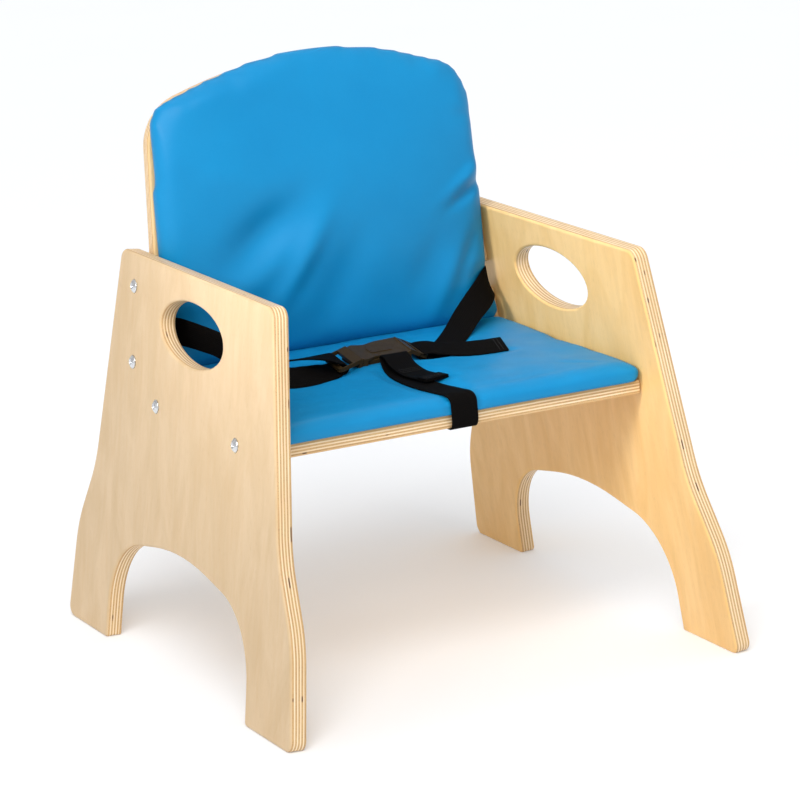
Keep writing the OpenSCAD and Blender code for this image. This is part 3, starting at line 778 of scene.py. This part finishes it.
def finish_cushion(piece, place, node_names, shape):
    """Shapes the cover's front with shape(x, y) in mm, presses it under the belts and sets it in place."""
    co = coordinates(piece.data)
    deep = co[:, 2].max()
    share = np.clip(co[:, 2] / deep, 0, 1) ** 1.3
    co[:, 2] += share * shape(co[:, 0] / MM, co[:, 1] / MM) * MM
    co[:, 2] = np.maximum(co[:, 2], 0)
    world = co @ np.array(place.to_3x3()).T + np.array(place.translation)
    up = np.array(place.to_3x3()) @ np.array([0, 0, 1.0])
    press = np.zeros(len(co))
    for frames in (crotch_frames, right_frames, left_frames):
        for mid, run, wide, face in frames[::2]:
            if abs(face @ up) < 0.75:
                continue
            for across in (-12, -6, 0, 6, 12):
                gap = world - (mid + wide * across * MM)
                level = gap @ up
                flat = np.linalg.norm(gap - np.outer(level, up), axis=1)
                limit = -1.1 * MM + (np.clip(flat - 2 * MM, 0, 1) / (10 * MM)) ** 2 * 5 * MM
                near = (flat < 14 * MM) & (level > limit) & (level < 16 * MM) & (share > 0.4)
                press = np.where(near, np.minimum(press, limit - level), press)
    press = settled(piece.data, press)
    world += np.outer(press, up)
    # the front roll stays behind the strap that comes up over it
    beside = np.clip((np.abs(world[:, 0] - 1 * MM) - 13 * MM) / (12 * MM), 0, 1) ** 2
    world[:, 1] = np.maximum(world[:, 1], -137.4 * MM - beside * 4 * MM)
    piece.data.vertices.foreach_set("co", world.ravel())
    piece.data.update()
    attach(piece, "chair")
    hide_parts(*node_names)
    return piece


seat_half = inner_at(240 * MM) / MM - 0.6
SEAT_CORNERS = [(seat_half, -139.5, 6), (seat_half, 106.5, 6)]


def seat_shape(x, y):
    crown = 4.2 * (1 - np.clip(np.abs(x) / 172, 0, 1) ** 3) * (1 - np.clip(np.abs(y + 18) / 122, 0, 1) ** 3)
    soft = np.array([noise.fractal(Vector((a / 70, b / 55, 3.1)), 0.8, 2.0, 3) for a, b in zip(x, y)])
    folds = 0.9 * hill(x, y, (150, -118), (20, 5), -38) + 0.8 * hill(x, y, (-152, -116), (20, 5), 40)
    folds -= 0.8 * hill(x, y, (138, -112), (26, 4), -30) + 0.9 * hill(x, y, (60, -122), (60, 5), 2)
    return crown + 0.9 * soft + folds


seat_cover = puffed("cushion_seat", spread(rounded(scaled(both_halves(SEAT_CORNERS))), 0.004), 12 * MM,
                    4.5 * MM, 4.0, 4 * MM)
finish_cushion(seat_cover, Matrix.Translation((0, 0, SEAT_Z + 0.3 * MM)),
               ["seat_cushion_cover", "seat_cushion_foam"], seat_shape)

BACK_RIGHT = [(168, 12, 10), (165, 36, 6), (153, 41, 6), (153, 55, 6), (162, 64, 12), (160, 140, 200), (155, 243, 44)]
BACK_LEFT = [(-158, 241, 28), (-161, 140, 200), (-161, 64, 12), (-151, 57, 6), (-151, 41, 6), (-165, 36, 6),
             (-168, 12, 10)]


def back_shape(x, y):
    rise = np.clip((y - 10) / 268, 0, 1)
    crown = 19 * np.sin(math.pi * rise ** 0.92) * (1 - np.clip(np.abs(x) / 163, 0, 1) ** 2.6)
    soft = np.array([noise.fractal(Vector((a / 85, b / 70, 8.4)), 0.9, 2.0, 2) for a, b in zip(x, y)])
    folds = -9.5 * hill(x, y, (-64, 126), (42, 20), 32)
    folds += 4.2 * hill(x, y, (-38, 92), (46, 10), 56)
    folds -= 3.0 * hill(x, y, (-2, 66), (50, 20), 56)
    folds += 2.2 * hill(x, y, (-84, 84), (44, 13), 30)
    folds += 1.6 * hill(x, y, (-108, 182), (46, 16), -24)
    folds -= 4.2 * hill(x, y, (146, 136), (26, 5), 26)
    folds += 3.4 * hill(x, y, (142, 150), (30, 6), 30)
    folds += 2.8 * hill(x, y, (112, 58), (36, 10), 62)
    folds -= 2.0 * hill(x, y, (90, 76), (34, 14), 60)
    folds -= 2.2 * hill(x, y, (138, 84), (24, 8), 58)
    folds -= 1.5 * hill(x, y, (-110, 52), (52, 9), -18)
    folds -= 1.6 * hill(x, y, (144, 202), (14, 5), -8)
    return crown + 1.2 * soft + folds


back_cover = puffed("cushion_back", spread(rounded(scaled(BACK_RIGHT + [(3, 294, 320)] + BACK_LEFT)), 0.004),
                    14 * MM, 5 * MM, 4.0, 5 * MM)
finish_cushion(back_cover, BACK_PLACE @ Matrix.Translation((0, 0, BOARD_T / 2 + 0.3 * MM)),
               ["back_cushion_cover", "back_cushion_foam"], back_shape)

# ---------------------------------------------------------------- fittings


def dress(name, material, bevel=None):
    """Gives a CAD node its material and, where it is moulded or machined, softened edges."""
    piece = nodes[name]
    piece.data.materials.clear()
    piece.data.materials.append(material)
    piece.data.polygons.foreach_set("use_smooth", [True] * len(piece.data.polygons))
    weld = piece.modifiers.new("weld", "WELD")
    weld.merge_threshold = 1e-5
    if bevel:
        flat = piece.modifiers.new("flat", "DECIMATE")
        flat.decimate_type = "DISSOLVE"
        flat.angle_limit = math.radians(1)
        soft = piece.modifiers.new("soft", "BEVEL")
        soft.width = bevel
        soft.segments = 3
        soft.limit_method = "ANGLE"
        soft.angle_limit = math.radians(32)
        soft.use_clamp_overlap = True
        soft.harden_normals = False
    shade = piece.modifiers.new("shade", "WEIGHTED_NORMAL")
    shade.keep_sharp = True
    shade.weight = 100


for name in ("buckle_socket", "buckle_plug"):
    dress(name, PLASTIC, 0.0007)
for name in ("buckle_prong_front", "buckle_prong_rear"):
    dress(name, PLASTIC, 0.0004)
for name in ("panel_bolts_left", "panel_bolts_right", "seat_barrel_nuts", "back_barrel_nuts", "belt_screws",
             "belt_washers"):
    dress(name, STEEL, 0.0003 if name == "belt_washers" else None)
for name in ("seat_hook_strips", "back_hook_strips"):
    dress(name, HOOKS)
for name in ("seat_loop_strips", "back_loop_strips"):
    dress(name, LOOPS)
for name in ("seat_cushion_foam", "back_cushion_foam"):
    dress(name, FOAM)

# ---------------------------------------------------------------- floor, light, camera

parts = Parts()
parts.add([(-9, -9, 0), (9, -9, 0), (9, 9, 0), (-9, 9, 0)], [[0, 1, 2, 3]])
floor = parts.build("floor", [floor_paper("floor_paper")])

world = bpy.data.worlds.new("studio")
world.use_nodes = True
tree = world.node_tree
seen = tree.nodes.new("ShaderNodeLightPath").outputs["Is Camera Ray"]
# the backdrop is white to the camera and dimmer as a light
brightness = tree.nodes.new("ShaderNodeMapRange")
tree.links.new(seen, brightness.inputs[0])
brightness.inputs[3].default_value = 0.62
brightness.inputs[4].default_value = 1.0
tree.nodes["Background"].inputs[0].default_value = (1, 1, 1, 1)
tree.links.new(brightness.outputs[0], tree.nodes["Background"].inputs[1])
bpy.context.scene.world = world

sun_data = bpy.data.lights.new("sky_sun", "SUN")
sun_data.energy = 1.6
sun_data.angle = math.radians(40)
sun = bpy.data.objects.new("sky_sun", sun_data)
bpy.context.scene.collection.objects.link(sun)
sun.rotation_euler = Vector((0.42, 0.66, -0.95)).to_track_quat("-Z", "Y").to_euler()


def softbox(name, spot, aim, size, power, spread_angle=180):
    data = bpy.data.lights.new(name, "AREA")
    data.shape = "RECTANGLE"
    data.size, data.size_y = size
    data.energy = power
    data.spread = math.radians(spread_angle)
    lamp = bpy.data.objects.new(name, data)
    bpy.context.scene.collection.objects.link(lamp)
    lamp.location = spot
    lamp.rotation_euler = (Vector(aim) - Vector(spot)).to_track_quat("-Z", "Y").to_euler()


softbox("key", (-1.2, -1.9, 1.4), (0, 0, 0.3), (1.0, 1.0), 7)
softbox("top", (0.2, 0.6, 2.0), (0, 0, 0.3), (1.4, 0.6), 3)
softbox("side", (-1.05, -0.45, 0.85), (0.19, 0.0, 0.32), (0.30, 0.30), 0.5, 30)

scene = bpy.context.scene
scene.view_settings.view_transform = "Standard"
scene.view_settings.look = "None"

look = Vector((0.4402, 0.8627, -0.2490)).normalized()
level = look.cross(Vector((0, 0, 1))).normalized()
rise = level.cross(look)
roll = math.radians(-2.95)
across = math.cos(roll) * level + math.sin(roll) * rise
upright = across.cross(look)
camera_data = bpy.data.cameras.new("camera")
camera_data.sensor_width = 36
camera_data.lens = 163.5
camera_data.clip_end = 50
camera = bpy.data.objects.new("camera", camera_data)
scene.collection.objects.link(camera)
camera.matrix_world = Matrix((
    (across.x, upright.x, -look.x, -1.3783),
    (across.y, upright.y, -look.y, -2.7250),
    (across.z, upright.z, -look.z, 0.9960),
    (0, 0, 0, 1)))
scene.camera = camera
